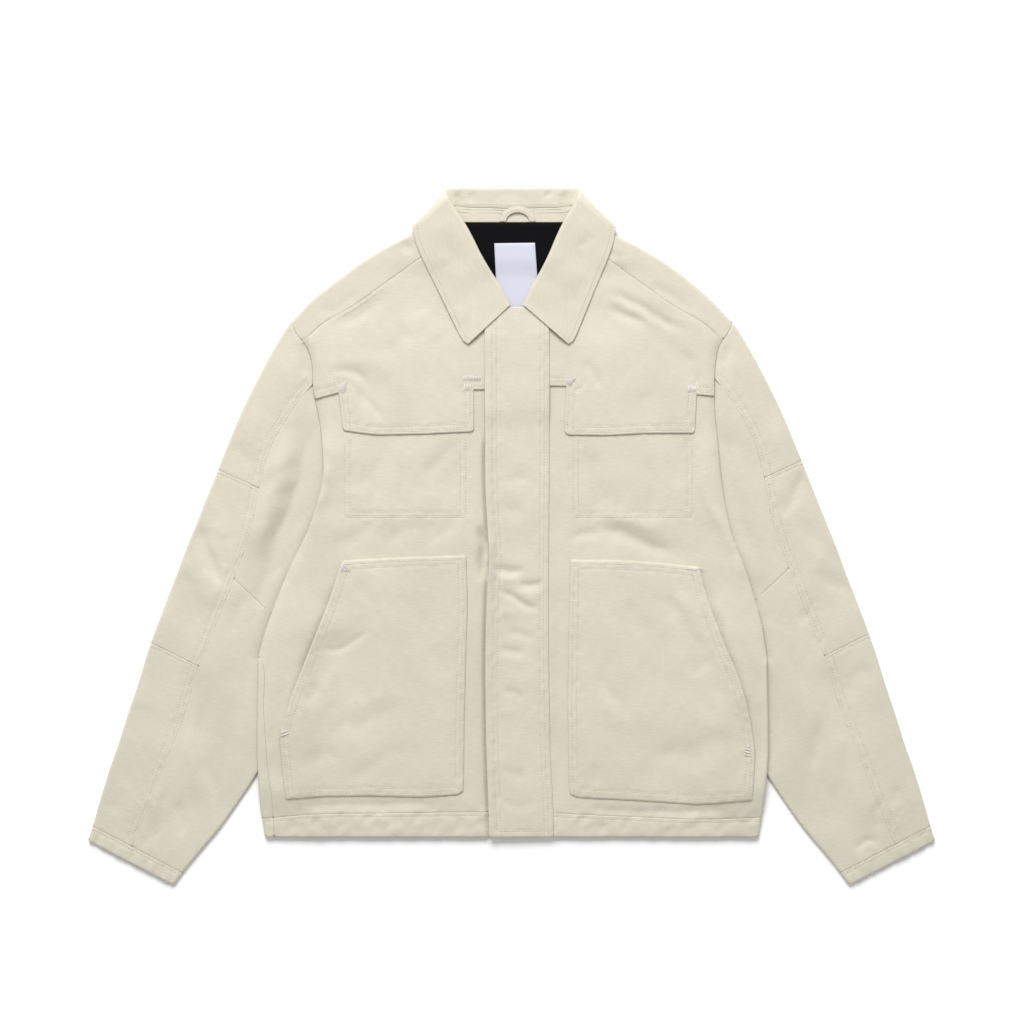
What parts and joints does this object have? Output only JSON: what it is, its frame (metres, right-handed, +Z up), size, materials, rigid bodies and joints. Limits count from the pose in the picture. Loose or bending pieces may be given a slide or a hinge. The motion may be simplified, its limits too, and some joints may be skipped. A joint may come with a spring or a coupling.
{
  "type": "chore jacket",
  "caption": "Boxy canvas chore jacket laid flat: pointed collar, covered placket, flapped chest pockets, large slanted hand pockets and panelled sleeves.",
  "frame": {"origin": "on the surface that the jacket lies on, under the middle of its box", "axes": "+X from the wearer's right sleeve to the left one, +Y from the hem to the collar, +Z up from the surface, out of the jacket's front"},
  "size_m": [0.9754, 0.8037, 0.0169],
  "materials": {
    "canvas": "matte cotton canvas",
    "lining": "matte woven lining",
    "label": "woven satin label"
  },
  "bodies": {
    "root": {"back_panel": "canvas", "back_yoke": "canvas", "hem_back": "canvas", "front_left": "canvas", "front_right": "canvas", "hem_front_left": "canvas", "hem_front_right": "canvas", "front_yoke_left": "canvas", "front_yoke_right": "canvas", "placket": "canvas", "hand_pocket_left": "canvas", "hand_pocket_right": "canvas", "collar_fall": "canvas", "collar_stand": "canvas", "hanger_loop": "canvas", "sleeve_upper_left": "canvas", "elbow_panel_left": "canvas", "forearm_panel_left": "canvas", "underarm_upper_left": "canvas", "underarm_lower_left": "canvas", "underarm_back_left": "canvas", "cuff_band_left": "canvas", "sleeve_upper_right": "canvas", "elbow_panel_right": "canvas", "forearm_panel_right": "canvas", "underarm_upper_right": "canvas", "underarm_lower_right": "canvas", "underarm_back_right": "canvas", "cuff_band_right": "canvas", "neck_lining": "lining", "label": "label"}
  },
  "joints": []
}
